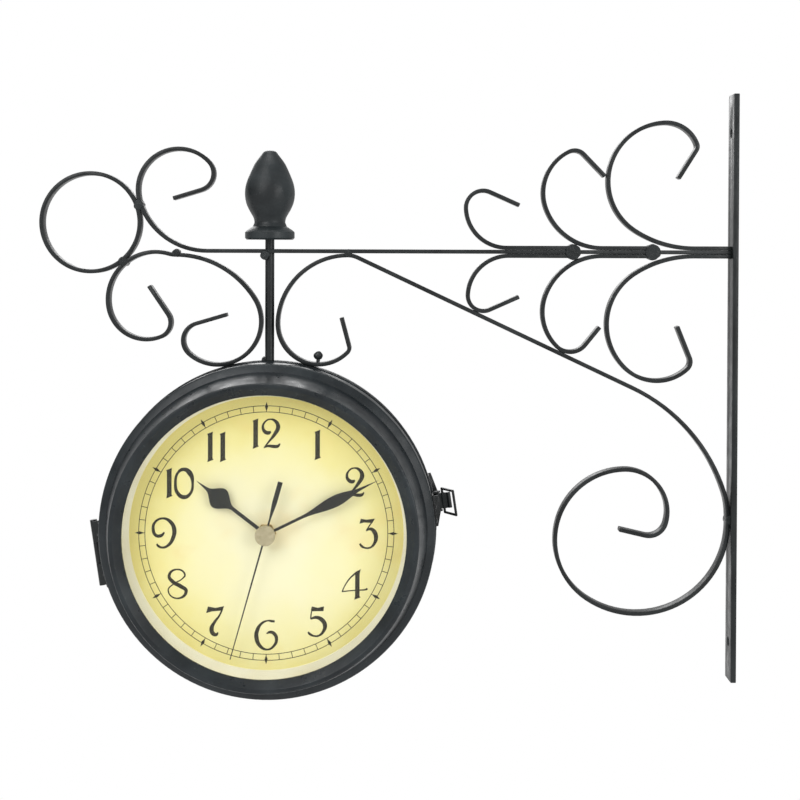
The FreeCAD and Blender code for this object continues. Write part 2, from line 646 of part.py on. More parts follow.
def shell(label, side, bead_radius):
    """One half of the case: seam bead, drum, step, cove, ridge and the lip round the glass."""
    inside = " - shell_wall"
    body = turned(label, SIDES[side], [
        (bead_radius, "seam_gap"), (bead_radius, "seam_width"),
        (DRUM_RADIUS, "seam_width"), (DRUM_RADIUS, DRUM_DEPTH),
        (STEP_RADIUS, STEP_DEPTH), (COVE_RADIUS, COVE_DEPTH),
        (RIDGE_RADIUS, RIDGE_DEPTH), (RIDGE_RADIUS + " - ridge_width", RIDGE_DEPTH),
        ("opening_radius", LIP_DEPTH), ("opening_radius", GLASS_FACE),
        (RIDGE_RADIUS + inside, GLASS_FACE), (COVE_RADIUS + inside, COVE_DEPTH),
        (STEP_RADIUS + inside, STEP_DEPTH + inside),
        (DRUM_RADIUS + inside, DRUM_DEPTH + inside), (DRUM_RADIUS + inside, "seam_gap")])
    rounded(body, "drum_round", [(DRUM_RADIUS, DRUM_DEPTH)])
    rounded(body, "ridge_round", [(RIDGE_RADIUS, RIDGE_DEPTH),
                                  (RIDGE_RADIUS + " - ridge_width", RIDGE_DEPTH)])
    return body


GLASS_RIM = RIDGE_RADIUS + " - shell_wall - glass_clearance"
DIAL_SHOWN = "opening_radius - ring_show"


def face_set(side):
    """Glass, pale ring, dial and its retainer on one side."""
    place = SIDES[side]
    glass = new_body(f"{side}_glass", place)
    sketch = new_sketch(glass, "XY_Plane", GLASS_BACK)
    circle(sketch, GLASS_RIM)
    feature(glass, "Pad", sketch, length="glass_thickness")
    turned(f"{side}_dial_ring", place, [
        (DIAL_SHOWN, DIAL_FACE), (GLASS_RIM, DIAL_FACE), (GLASS_RIM, GLASS_BACK),
        (GLASS_RIM + " - ring_wall", GLASS_BACK),
        (GLASS_RIM + " - ring_wall", DIAL_FACE + " + ring_rise + ring_face"),
        (DIAL_SHOWN, DIAL_FACE + " + ring_face")])
    outer = STEP_RADIUS + " - shell_wall"
    dial = new_body(f"{side}_dial", place)
    sketch = new_sketch(dial, "XY_Plane", DIAL_BACK)
    circle(sketch, outer + " - dial_clearance")
    circle(sketch, "bush_radius + thread_fit")
    feature(dial, "Pad", sketch, length="dial_thickness")
    top, bottom = DIAL_BACK, DIAL_BACK + " - retainer_thickness"
    inner = outer + " - retainer_width"
    turned(f"{side}_retaining_ring", place,
           [(inner, bottom), (outer + " - dial_clearance", bottom),
            (outer + " - dial_clearance", top), (inner, top)])


shell("rear_shell", "rear", CASE_RADIUS)
shell("front_shell", "front", CASE_RADIUS + " - door_clearance")
for side in SIDES:
    face_set(side)

# ---- hinge ----------------------------------------------------------------------------------------

TILT = Rotation(Vector(0, 1, 0), -amount("hinge_tilt"))
LATCH_SIDE = Placement(CLOCK_CENTRE, TILT)                  # local X out towards the latch
HINGE_SIDE = Placement(CLOCK_CENTRE, TILT.multiply(Rotation(Vector(0, 0, 1), 180)))


def block(low, high):
    """A box between two corners."""
    span = Vector(*high) - Vector(*low)
    return Part.makeBox(span.x, span.y, span.z, Vector(*low))


def curved_plate(inner, thickness, length, near, far):
    """A plate rolled to the drum, centred on local X, between two depths from the seam."""
    angle = math.degrees(length / inner)
    start = Vector(0, near, 0)
    tube = Part.makeCylinder(inner + thickness, far - near, start, Vector(0, 1, 0), angle)
    core = Part.makeCylinder(inner, far - near, start, Vector(0, 1, 0), angle)
    plate_shape = tube.cut(core).Solids[0]
    middle = plate_shape.CenterOfMass
    plate_shape.rotate(Vector(0, 0, 0), Vector(0, 1, 0),
                       math.degrees(math.atan2(middle.z, middle.x)))
    return plate_shape


def rivets(places, radius, height, surface):
    """Domed rivet heads standing on a curved plate; places are (along the drum, depth)."""
    heads = []
    for along_drum, depth in places:
        angle = along_drum / surface
        way = Vector(math.cos(angle), 0, math.sin(angle))
        foot = way * surface + Vector(0, depth, 0)
        ball_radius = (radius ** 2 + height ** 2) / (2 * height)
        ball = Part.makeSphere(ball_radius, foot - way * (ball_radius - height))
        heads.append(ball.common(Part.makeCylinder(radius, 2 * height, foot, way)))
    return Part.makeCompound(heads)


DRUM = amount(DRUM_RADIUS)
BARREL = amount("barrel_radius")
AXIS_OUT = DRUM + amount("barrel_stand")
LEAF = amount("leaf_thickness")
knuckle = (amount("barrel_length") - 2 * amount("knuckle_gap")) / 3
leaf_start = amount("seam_width + door_clearance")
leaf_end = leaf_start + amount("leaf_depth")


def drum_solid(reach):
    """The drum as a full cylinder, to a depth either side of the seam."""
    return Part.makeCylinder(DRUM, 2 * reach, Vector(0, -reach, 0), Vector(0, 1, 0))


def hinge_leaf(spans, toward):
    """A leaf on one drum with its knuckles; toward is -1 for the rear half, +1 for the door."""
    low, high = sorted((toward * leaf_start, toward * leaf_end))
    leaf = curved_plate(DRUM, LEAF, amount("barrel_length"), low, high)
    bore = amount("hinge_pin_radius + pin_clearance")
    web_near, web_far = leaf_start - amount("web_thickness"), leaf_start + LEAF
    for bottom, top in spans:
        barrel = Part.makeCylinder(BARREL, top - bottom, Vector(AXIS_OUT, 0, bottom))
        web_low, web_high = sorted((toward * web_near, toward * web_far))
        web_start = DRUM + LEAF - amount("web_seat")
        web = block((web_start, web_low, bottom), (AXIS_OUT, web_high, top))
        foot_low, foot_high = sorted((toward * leaf_start, toward * web_far))
        foot = block((DRUM - LEAF, foot_low, bottom), (AXIS_OUT, foot_high, top))
        leaf = leaf.fuse(barrel).fuse(web).fuse(foot.cut(drum_solid(leaf_end)))
    hole = Part.makeCylinder(bore, 2 * amount("barrel_length"),
                             Vector(AXIS_OUT, 0, -amount("barrel_length")))
    return leaf.cut(hole).removeSplitter()


half = amount("barrel_length") / 2
gap = amount("knuckle_gap")
middle = (-knuckle / 2, knuckle / 2)
outer_spans = [(-half, -knuckle / 2 - gap), (knuckle / 2 + gap, half)]
put("hinge_leaf_rear", hinge_leaf([middle], -1), HINGE_SIDE)
put("hinge_leaf_door", hinge_leaf(outer_spans, 1), HINGE_SIDE)
pin_length = amount("barrel_length") + 2 * amount("pin_head_height")
pin = Part.makeCylinder(amount("hinge_pin_radius"), pin_length,
                        Vector(AXIS_OUT, 0, -pin_length / 2))
for bottom in (-pin_length / 2, half + amount("pin_clearance")):
    cap = Part.makeCylinder(amount("barrel_radius"),
                            amount("pin_head_height - pin_clearance"),
                            Vector(AXIS_OUT, 0, bottom))
    pin = pin.fuse(cap)
put("hinge_pin", pin.removeSplitter(), HINGE_SIDE)

plate_top = DRUM + LEAF
rivet_radius, rivet_height = amount("small_rivet_radius"), amount("small_rivet_height")
spread = amount("small_rivet_spacing") / 2
depth = leaf_end - amount("leaf_rivet_margin")
rear_places = [(-spread, -depth), (spread, -depth)]
door_places = [(-spread, depth), (spread, depth)]
rear_heads = rivets(rear_places, rivet_radius, rivet_height, plate_top)
door_heads = rivets(door_places, rivet_radius, rivet_height, plate_top)
for heads in (rear_heads, door_heads):
    heads.Placement = HINGE_SIDE

# ---- latch ----------------------------------------------------------------------------------------

PIVOT_OUT = DRUM + amount("catch_pivot_height")
PIVOT_BACK = amount("catch_pivot_setback")
catch_near = leaf_start
catch_far = catch_near + amount("catch_depth")
catch = curved_plate(DRUM, LEAF, amount("catch_length"), catch_near, catch_far)
ear_inner = (amount("lever_width") + 2 * amount("lever_gap")) / 2
ear = amount("ear_thickness")
pin_radius = amount("catch_pin_radius")
for way in (-1, 1):
    low, high = sorted((way * ear_inner, way * (ear_inner + ear)))
    round_top = Part.makeCylinder(amount("ear_radius"), ear, Vector(PIVOT_OUT, PIVOT_BACK, low))
    stem = block((DRUM + LEAF / 2, PIVOT_BACK - amount("ear_radius"), low),
                 (PIVOT_OUT, PIVOT_BACK + amount("ear_radius"), high))
    catch = catch.fuse(round_top).fuse(stem)
catch_half = amount("catch_length") / 2
catch = catch.cut(Part.makeCylinder(pin_radius, 2 * catch_half,
                                    Vector(PIVOT_OUT, PIVOT_BACK, -catch_half)))
flange_top, flange_low = -amount("catch_flange_top") / 2, amount("catch_flange_low")
high = DRUM + amount("catch_flange_height")
under = math.sqrt(DRUM ** 2 - catch_half ** 2)
corner_list = [(under, -catch_half), (DRUM + LEAF, -catch_half), (high, flange_top),
               (high, flange_low), (DRUM + LEAF, catch_half), (under, catch_half)]
points = [Vector(x, catch_far - LEAF, z) for x, z in corner_list]
flange = Part.Face(Part.makePolygon(points + points[:1])).extrude(Vector(0, LEAF, 0))
catch = catch.fuse(flange.cut(drum_solid(catch_far))).removeSplitter()
put("latch_base", catch, LATCH_SIDE)

pin_out = ear_inner + ear + amount("knuckle_gap") / 2
put("latch_pin", Part.makeCylinder(pin_radius, 2 * pin_out,
                                   Vector(PIVOT_OUT, PIVOT_BACK, -pin_out)), LATCH_SIDE)


def lever_shape():
    """Lever raised off the drum: two knuckles joined by a blade with a turned-up tip."""
    width = amount("lever_width")
    low = -width / 2
    axis = Vector(PIVOT_OUT, PIVOT_BACK, low)
    throw = amount("bail_throw")
    second = axis + Vector(throw, 0, 0)
    main = Part.makeCylinder(amount("lever_knuckle"), width, axis)
    upper = Part.makeCylinder(amount("bail_knuckle"), width, second)
    thick = amount("lever_thickness")
    web = block((axis.x, axis.y - thick, low), (second.x, axis.y + thick / 2, -low))
    tip = axis.x + amount("lever_length")
    outer = axis.y - amount("lever_offset")
    blade = block((second.x, outer, low), (tip, outer + thick, -low))
    curl = Part.makeCylinder(thick, width, Vector(tip - thick / 2, outer, low))
    lever = main.fuse(upper).fuse(web).fuse(blade).fuse(curl)
    fit = amount("pin_clearance")
    for place, hole in ((axis, pin_radius + fit), (second, amount("bail_wire_radius") + fit)):
        lever = lever.cut(Part.makeCylinder(hole, 2 * width, place - Vector(0, 0, width / 2)))
    return lever.removeSplitter()


put("latch_lever", lever_shape(), LATCH_SIDE)


def bail_shape():
    """Wire loop hung in the lever: two inturned ends, two sides and the bar that hooks."""
    wire = amount("bail_wire_radius")
    wide = amount("bail_half_width")
    reach = amount("bail_reach")
    angle = math.radians(amount("bail_rest_angle"))
    way = Vector(math.sin(angle), -math.cos(angle), 0)
    pivot = Vector(PIVOT_OUT + amount("bail_throw"), PIVOT_BACK, 0)
    parts = []
    up = Vector(0, 0, 1)
    for sign in (-1, 1):
        side = pivot + up * (sign * wide)
        inner = pivot + up * (sign * amount("lever_width") / 4)
        parts.append(Part.makeCylinder(wire, (side - inner).Length, inner, up * sign))
        parts.append(Part.makeSphere(wire, side))
        parts.append(Part.makeCylinder(wire, reach, side, way))
        parts.append(Part.makeSphere(wire, side + way * reach))
    parts.append(Part.makeCylinder(wire, 2 * wide, pivot + way * reach - up * wide, up))
    return all_of(parts).removeSplitter()


put("latch_bail", bail_shape(), LATCH_SIDE)

keeper_far = leaf_start + amount("keeper_width")
keeper = curved_plate(DRUM, LEAF, amount("keeper_length"), -keeper_far, -leaf_start)
lip_near = -amount("lip_setback")
keeper = keeper.fuse(block((DRUM + LEAF / 2, lip_near - amount("lip_thickness"),
                            -amount("lip_width") / 2),
                           (DRUM + amount("lip_height"), lip_near, amount("lip_width") / 2)))
put("latch_keeper", keeper.removeSplitter(), LATCH_SIDE)

catch_spread = amount("catch_rivet_spacing") / 2
catch_middle = (catch_near + catch_far) / 2
catch_heads = rivets([(-catch_spread, catch_middle), (catch_spread, catch_middle)],
                     rivet_radius, rivet_height, plate_top)
keeper_heads = rivets([(0, amount("keeper_rivet_margin") - keeper_far)], rivet_radius,
                      rivet_height, plate_top)
for heads in (catch_heads, keeper_heads):
    heads.Placement = LATCH_SIDE
put("case_rivets", Part.makeCompound(rear_heads.Solids + catch_heads.Solids))
put("door_rivets", Part.makeCompound(door_heads.Solids + keeper_heads.Solids))

# ---- movements ------------------------------------------------------------------------------------

CASE_BACK, CASE_FRONT = amount(MOVEMENT_BACK), amount(MOVEMENT_FRONT)
WALL = amount("movement_wall")
WIDE = amount("movement_half_width")
ABOVE, BELOW = amount("movement_above"), amount("movement_below")
BATTERY = amount("battery_radius")
BAY = amount("bay_clearance")
battery_y = -BELOW + WALL + BAY + BATTERY
battery_z = CASE_FRONT - WALL - BAY - BATTERY
partition_y = battery_y + BATTERY + BAY


def along_z(radius, bottom, top, x=0.0, y=0.0):
    """A cylinder along the clock's axis between two depths."""
    return Part.makeCylinder(radius, top - bottom, Vector(x, y, bottom))


def movement(side):
    """Quartz movement behind one dial, with its battery, contacts, bush, gasket and nut."""
    place = SIDES[side]
    bush = amount("bush_radius")
    case = block((-WIDE, -BELOW, CASE_BACK), (WIDE, ABOVE, CASE_FRONT))
    case = case.cut(block((-WIDE + WALL, partition_y + WALL, CASE_BACK),
                          (WIDE - WALL, ABOVE - WALL, CASE_FRONT - WALL)))
    case = case.cut(block((-WIDE + WALL, -BELOW + WALL, CASE_BACK),
                          (WIDE - WALL, partition_y, CASE_FRONT - WALL)))
    case = case.cut(along_z(bush, CASE_BACK, CASE_FRONT + 1))
    put(f"{side}_movement_case", case, place)

    lid = block((-WIDE, partition_y, CASE_BACK - amount("lid_thickness")), (WIDE, ABOVE, CASE_BACK))
    knob_y = amount("knob_offset")
    shaft = amount("knob_shaft_radius")
    lid = lid.cut(along_z(shaft + amount("pin_clearance"), 0, CASE_FRONT, 0, knob_y))
    put(f"{side}_movement_lid", lid, place)

    length = amount("battery_length")
    contact = amount("contact_thickness")
    inner = WIDE - WALL
    nub = amount("battery_nub_length")
    start = inner - contact - nub - length
    middle = Vector(start, battery_y, battery_z)
    cell = Part.makeCylinder(BATTERY, length, middle, Vector(1, 0, 0))
    cell = cell.fuse(Part.makeCylinder(amount("battery_nub_radius"), nub,
                                       middle + Vector(length, 0, 0), Vector(1, 0, 0)))
    put(f"{side}_battery", cell.removeSplitter(), place)

    reach = amount("contact_width") / 2
    positive = block((inner - contact, battery_y - reach, battery_z - reach),
                     (inner, battery_y + reach, battery_z + reach))
    negative = block((-inner, battery_y - reach, battery_z - reach),
                     (-inner + contact, battery_y + reach, battery_z + reach))
    spring = start + inner - contact
    turns = Part.makeCone(0.8 * reach, 0.4 * reach, spring,
                          Vector(-inner + contact, battery_y, battery_z), Vector(1, 0, 0))
    negative = negative.fuse(turns).removeSplitter()
    put(f"{side}_battery_contacts", Part.makeCompound([positive, negative]), place)

    flange = along_z(amount("bush_flange_radius"), CASE_FRONT - WALL - amount("bush_flange"),
                     CASE_FRONT - WALL)
    face = amount(DIAL_FACE)
    top = face + amount("bush_above_dial")
    thread = along_z(bush, CASE_FRONT - WALL, top)
    bore = along_z(amount("bush_bore"), 0, top + 1)
    put(f"{side}_centre_bush", flange.fuse(thread).cut(bore).removeSplitter(), place)

    fit = amount("thread_fit")
    dial_back = amount(DIAL_BACK)
    gasket = along_z(amount("gasket_radius"), CASE_FRONT, dial_back)
    put(f"{side}_gasket", gasket.cut(along_z(bush + fit, 0, top)), place)
    corner = amount("nut_flats") / math.sqrt(3)
    points = [Vector(corner * math.cos(math.radians(60 * i)),
                     corner * math.sin(math.radians(60 * i)), face) for i in range(7)]
    nut = Part.Face(Part.makePolygon(points)).extrude(Vector(0, 0, amount("nut_height")))
    put(f"{side}_nut", nut.cut(along_z(bush, 0, top + 1)), place)

    knob_back = amount("movement_back")
    knob = along_z(amount("knob_radius"), knob_back - amount("knob_height"),
                   knob_back - amount("pin_clearance"), 0, knob_y)
    notch = amount("knob_notch_radius")
    for i in range(12):
        angle = math.radians(30 * i)
        knob = knob.cut(along_z(notch, 0, knob_back, amount("knob_radius") * math.cos(angle),
                                knob_y + amount("knob_radius") * math.sin(angle)))
    stem = along_z(shaft, knob_back - amount("pin_clearance"),
                   knob_back + amount("knob_shaft_length"), 0, knob_y)
    put(f"{side}_setting_knob", knob.fuse(stem).removeSplitter(), place)


for side in SIDES:
    movement(side)

# ---- hands ----------------------------------------------------------------------------------------


def turned_to(side, angle):
    """A hand's place: pointing to an angle clockwise from twelve."""
    return SIDES[side].multiply(Placement(Vector(0, 0, 0), Rotation(Vector(0, 0, 1), -angle)))


def blade(points, bottom):
    """A thin blade from the right-hand half of its outline, mirrored about the hand's line."""
    left = [(-x, y) for x, y in reversed(points) if x > 0]
    corners = [Vector(x, y, bottom) for x, y in points + left]
    face = Part.Face(Part.makePolygon(corners + corners[:1]))
    return face.extrude(Vector(0, 0, amount("hand_thickness")))


def swell(first, last, narrow, wide, steps=6):
    """Half widths that rise smoothly from one place on a hand to another."""
    places = []
    for i in range(1, steps + 1):
        part = i / steps
        ease = (1 - math.cos(math.pi * part)) / 2
        places.append(((narrow + (wide - narrow) * ease) / 2, first + (last - first) * part))
    return places


def hour_outline():
    stem, bulb = amount("hour_stem_width"), amount("hour_bulb_width")
    start, place = amount("hour_bulb_start"), amount("hour_bulb_place")
    points = [(stem / 2, 0), (stem / 2, start)] + swell(start, place, stem, bulb)
    points += swell(place, amount("hour_spear_place"), bulb, amount("hour_spear_width"))
    return points + [(0, amount("hour_length"))]


def minute_outline():
    stem, leaf = amount("minute_stem_width"), amount("minute_leaf_width")
    start, place = amount("minute_leaf_start"), amount("minute_leaf_place")
    points = [(stem / 2, 0), (stem / 2, start)] + swell(start, place, stem, leaf)
    points += swell(place, amount("minute_spear_place"), leaf, amount("minute_spear_width"))
    return points + [(0, amount("minute_length"))]


def second_outline():
    tail, width = amount("second_tail_width") / 2, amount("second_width") / 2
    start = -amount("second_tail_start")
    return [(0, -amount("second_tail")), (tail, -amount("second_tail")), (tail, 2 * start),
            (width, start), (width, 0),
            (amount("second_tip_width") / 2, amount("second_length")),
            (0, amount("second_length"))]


def hand(label, side, angle, points, lift, hub, tube, bore):
    """A hand: blade, hub and the tube that it turns on."""
    bottom = amount(DIAL_FACE) + amount(lift)
    top = bottom + amount("hand_thickness")
    shape = blade(points, bottom).fuse(along_z(amount(hub), bottom, top))
    shape = shape.fuse(along_z(amount(tube), bottom - amount("tube_depth"), bottom))
    if bore > 0:
        shape = shape.cut(along_z(bore, 0, top + 1))
    put(label, shape.removeSplitter(), turned_to(side, amount(angle)))


for side in SIDES:
    clearance = amount("tube_clearance")
    hand(f"{side}_hour_hand", side, "hour_angle", hour_outline(), "hour_lift",
         "hour_hub_radius", "hour_tube_radius", amount("minute_tube_radius") + clearance)
    hand(f"{side}_minute_hand", side, "minute_angle", minute_outline(), "minute_lift",
         "minute_hub_radius", "minute_tube_radius", amount("second_pin_radius") + clearance)
    hand(f"{side}_second_hand", side, "second_angle", second_outline(), "second_lift",
         "second_hub_radius", "second_pin_radius", 0)
    cap_body = new_body(f"{side}_hand_cap", SIDES[side])
    sketch = new_sketch(cap_body, "XY_Plane", CAP_BACK)
    circle(sketch, "cap_radius")
    feature(cap_body, "Pad", sketch, length="cap_height")

# ---- welds, cut to the bars they join ---------------------------------------------------------------

joined = ["arm_bar", "left_scroll", "brace_scroll", "end_ring", "small_scroll_upper",
          "small_scroll_lower", "middle_scroll_upper", "middle_scroll_lower",
          "large_scroll_upper", "large_scroll_lower", "hanger_post", "rear_shell", "foot_rivet",
          "wall_plate"]
tools = [shape_of(label) for label in joined]
far = 2 * amount(RIDGE_DEPTH)
door_space = Part.makeCylinder(amount(CASE_RADIUS), far, CLOCK_CENTRE + Vector(0, -far, 0),
                               Vector(0, 1, 0))
beads = [shape.cut(tools + [door_space]) for shape in shapes]
beads = [max(shape.Solids, key=lambda solid: solid.Volume) for shape in beads]
put("weld_beads", Part.makeCompound(beads))

# ---- check and write --------------------------------------------------------------------------------

doc.recompute()
for made in doc.Objects:
    if "Invalid" in made.State or "Error" in made.State:
        raise RuntimeError(f"{made.Label} did not rebuild: {made.State}")
os.makedirs("parts", exist_ok=True)
for label, made in nodes.items():
    if made.Shape.isNull() or not made.Shape.isValid() or made.Shape.Volume <= 0:
        raise RuntimeError(f"{label} has no sound shape")
    made.Shape.exportStep(f"parts/{label}.step")
print(len(nodes), "sub-parts written")
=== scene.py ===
"""Looks of a double sided station clock on its wrought-iron wall bracket."""
import json
import math

import bmesh
import bpy
from mathutils import Matrix, Vector, noise


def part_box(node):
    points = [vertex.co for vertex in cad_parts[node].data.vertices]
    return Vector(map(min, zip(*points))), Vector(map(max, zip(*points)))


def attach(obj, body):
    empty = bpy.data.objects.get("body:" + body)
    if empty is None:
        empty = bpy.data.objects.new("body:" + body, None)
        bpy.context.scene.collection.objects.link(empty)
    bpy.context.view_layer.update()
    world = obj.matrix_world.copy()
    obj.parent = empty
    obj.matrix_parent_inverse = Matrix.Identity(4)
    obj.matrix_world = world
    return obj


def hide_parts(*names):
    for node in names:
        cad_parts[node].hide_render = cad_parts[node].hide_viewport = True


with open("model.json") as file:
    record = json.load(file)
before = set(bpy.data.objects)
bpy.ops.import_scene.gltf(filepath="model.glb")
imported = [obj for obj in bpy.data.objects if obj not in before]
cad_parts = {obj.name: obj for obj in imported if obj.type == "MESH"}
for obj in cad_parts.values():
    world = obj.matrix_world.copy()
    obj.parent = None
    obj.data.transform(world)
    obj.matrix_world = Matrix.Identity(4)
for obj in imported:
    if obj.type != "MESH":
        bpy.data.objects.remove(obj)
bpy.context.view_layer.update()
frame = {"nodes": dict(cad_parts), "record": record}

MM = 0.001
body_of = {node: body for body, members in frame["record"]["behaviour"]["bodies"].items()
           for node in members}
slot_of = {part["node"]: part["material_slot"] for part in frame["record"]["subparts"]}
shell_low, shell_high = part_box("rear_shell")
CENTRE = Vector(((shell_low.x + shell_high.x) / 2, 0, (shell_low.z + shell_high.z) / 2))
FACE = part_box("rear_dial")[1].y               # how far each dial stands from the middle plane
PAPER_RADIUS = 74 * MM                        # where the paper is yellowest and its painted rim shade deepest


# ---- finishes -----------------------------------------------------------------------------------

def paint(red, green, blue):
    """A colour read from the photograph's 0 to 255 scale, as the shaders want it."""
    def level(value):
        value /= 255
        return value / 12.92 if value < 0.04 else ((value + 0.055) / 1.055) ** 2.4
    return level(red), level(green), level(blue), 1.0


class Finish:
    """One material and the few nodes that its makers need."""

    def __init__(self, name, **settings):
        self.material = bpy.data.materials.new(name)
        self.material.use_nodes = True
        tree = self.material.node_tree
        self.nodes, self.links = tree.nodes, tree.links
        self.shader = self.nodes["Principled BSDF"]
        for socket, value in settings.items():
            self.shader.inputs[socket.replace("_", " ")].default_value = value
        self.place = self.nodes.new("ShaderNodeTexCoord").outputs["Object"]

    def stretched(self, scale, location=(0, 0, 0)):
        """Object coordinates, scaled and moved."""
        mapping = self.nodes.new("ShaderNodeMapping")
        mapping.inputs["Scale"].default_value = scale
        mapping.inputs["Location"].default_value = location
        self.links.new(self.place, mapping.inputs["Vector"])
        return mapping.outputs["Vector"]

    def noise(self, scale, detail=4.0, roughness=0.55, distortion=0.0, place=None):
        """Cloudy noise; scale counts its features for each metre."""
        node = self.nodes.new("ShaderNodeTexNoise")
        for socket, value in (("Scale", scale), ("Detail", detail), ("Roughness", roughness),
                              ("Distortion", distortion)):
            node.inputs[socket].default_value = value
        self.links.new(place or self.place, node.inputs["Vector"])
        return node.outputs["Fac"]

    def ramp(self, factor, *stops):
        """A colour ramp; stops are (place, colour)."""
        node = self.nodes.new("ShaderNodeValToRGB")
        band = node.color_ramp
        band.elements[0].position, band.elements[0].color = stops[0]
        band.elements[1].position, band.elements[1].color = stops[-1]
        for position, colour in stops[1:-1]:
            band.elements.new(position).color = colour
        self.links.new(factor, node.inputs["Fac"])
        return node.outputs["Color"]

    def sums(self, kind, first, second):
        """Maths on two values, each a socket or a number."""
        node = self.nodes.new("ShaderNodeMath")
        node.operation = kind
        for socket, value in zip(node.inputs, (first, second)):
            if isinstance(value, (int, float)):
                socket.default_value = value
            else:
                self.links.new(value, socket)
        return node.outputs["Value"]

    def mixed(self, factor, first, second):
        """One colour laid over another."""
        node = self.nodes.new("ShaderNodeMix")
        node.data_type = "RGBA"
        for socket, value in ((node.inputs["Factor"], factor), (node.inputs[6], first),
                              (node.inputs[7], second)):
            if isinstance(value, bpy.types.NodeSocket):
                self.links.new(value, socket)
            else:
                socket.default_value = value
        return node.outputs[2]

    def feed(self, socket, value):
        """Lead a value into the shader."""
        self.links.new(value, self.shader.inputs[socket])

    def lumps(self, *heights, distance):
        """Relief from noises, each (scale, share); distance is its height in metres."""
        total = 0.0
        for scale, share in heights:
            total = self.sums("ADD", self.sums("MULTIPLY", self.noise(scale, 3.0), share), total)
        bump = self.nodes.new("ShaderNodeBump")
        bump.inputs["Distance"].default_value = distance
        bump.inputs["Strength"].default_value = 1.0
        self.links.new(total, bump.inputs["Height"])
        self.links.new(bump.outputs["Normal"], self.shader.inputs["Normal"])
        return self


def grey(value):
    """A neutral colour, from 0 for black to 1 for white."""
    return value, value, value, 1.0


def black_paint(name, deep, thin, gloss, grain, relief):
    """Black paint on iron: cloudy cover, thin at the scuffs, with the brush's soft lumps."""
    made = Finish(name, Roughness=gloss, Specular_IOR_Level=0.3)
    cover = made.ramp(made.noise(45, 5.0), (0.35, deep), (0.72, thin))
    scuffs = made.ramp(made.noise(grain, 6.0, 0.7), (0.62, grey(0)), (0.74, grey(1)))
    faint = made.sums("MULTIPLY", scuffs, 0.35)
    made.feed("Base Color", made.mixed(faint, cover, paint(82, 88, 88)))
    spread = made.ramp(made.noise(120, 4.0), (0.3, grey(gloss - 0.09)), (0.7, grey(gloss + 0.12)))
    made.feed("Roughness", spread)
    return made.lumps((260, 1.0), (1300, 0.25), distance=relief).material


def dial_paper():
    """Aged paper: cream in the middle, yellow towards the rim, with faint stains; the rim's
    darkening and the extra yellow towards the top and the left are painted shade of the bezel.
    """
    made = Finish("dial_paper", Roughness=0.62)
    reach = 1 / PAPER_RADIUS
    where = made.stretched((reach, 0, reach), (-CENTRE.x * reach, 0, -CENTRE.z * reach))
    # spherical gradient: yellower towards the rim with age, and darker there as painted shade of
    # the bezel
    ball = made.nodes.new("ShaderNodeTexGradient")
    ball.gradient_type = "SPHERICAL"
    made.links.new(where, ball.inputs["Vector"])
    split = made.nodes.new("ShaderNodeSeparateXYZ")
    made.links.new(where, split.inputs["Vector"])
    # painted shade: yellower and darker towards the top, where the bezel's shadow falls
    painted_top_shade = made.sums("MULTIPLY", split.outputs["Z"], -0.16)
    # painted shade: a little yellower and darker towards the left
    side = made.sums("MULTIPLY", split.outputs["X"], 0.05)
    cloud = made.sums("MULTIPLY", made.sums("SUBTRACT", made.noise(32, 5.0, 0.6), 0.5), 0.55)
    # painted rim, top and left shade summed with the paper's real mottling
    yellowing_and_shade = made.sums("ADD", made.sums("ADD", ball.outputs["Fac"], painted_top_shade),
                      made.sums("ADD", cloud, side))
    body = made.ramp(yellowing_and_shade, (0.0, paint(240, 227, 140)), (0.16, paint(246, 236, 158)),
                     (0.38, paint(251, 244, 184)), (0.72, paint(253, 248, 206)))
    stain = made.ramp(made.noise(24, 3.0, 0.5, 0.6, made.stretched((1, 1, 1.4), (0.31, 0, 0.12))),
                      (0.56, grey(0)), (0.74, grey(1)))
    made.feed("Base Color", made.mixed(made.sums("MULTIPLY", stain, 0.30), body,
                                       paint(243, 208, 128)))
    return made.lumps((900, 1.0), distance=0.00003).material


def rim_enamel():
    """Ivory enamel of the ring round the paper."""
    made = Finish("rim_enamel", Roughness=0.38)
    made.feed("Base Color", made.ramp(made.noise(60, 4.0), (0.3, paint(252, 249, 226)),
                                      (0.75, paint(244, 238, 208))))
    return made.lumps((500, 1.0), distance=0.00004).material


def printing_ink():
    """Brown-black ink, a little uneven where the paper took it badly."""
    made = Finish("printing_ink", Roughness=0.55)
    made.feed("Base Color", made.ramp(made.noise(260, 5.0), (0.3, paint(30, 25, 8)),
                                      (0.8, paint(58, 50, 24))))
    return made.lumps((1200, 1.0), distance=0.00002).material


def clear_glass():
    """Clear glass: mostly seen through, with a faint reflection."""
    made = Finish("clock_glass", Roughness=0.04, IOR=1.5)
    made.shader.inputs["Base Color"].default_value = (0.10, 0.12, 0.11, 1)
    made.feed("Alpha", made.ramp(made.noise(14, 2.0), (0.3, grey(0.05)), (0.8, grey(0.075))))
    return made.lumps((9, 1.0), distance=0.00002).material


def hand_enamel():
    """Matt black enamel of the hands."""
    made = Finish("hand_enamel", Roughness=0.42)
    made.feed("Base Color", made.ramp(made.noise(300, 4.0), (0.3, paint(22, 20, 16)),
                                      (0.8, paint(44, 41, 34))))
    return made.lumps((700, 1.0), distance=0.00003).material


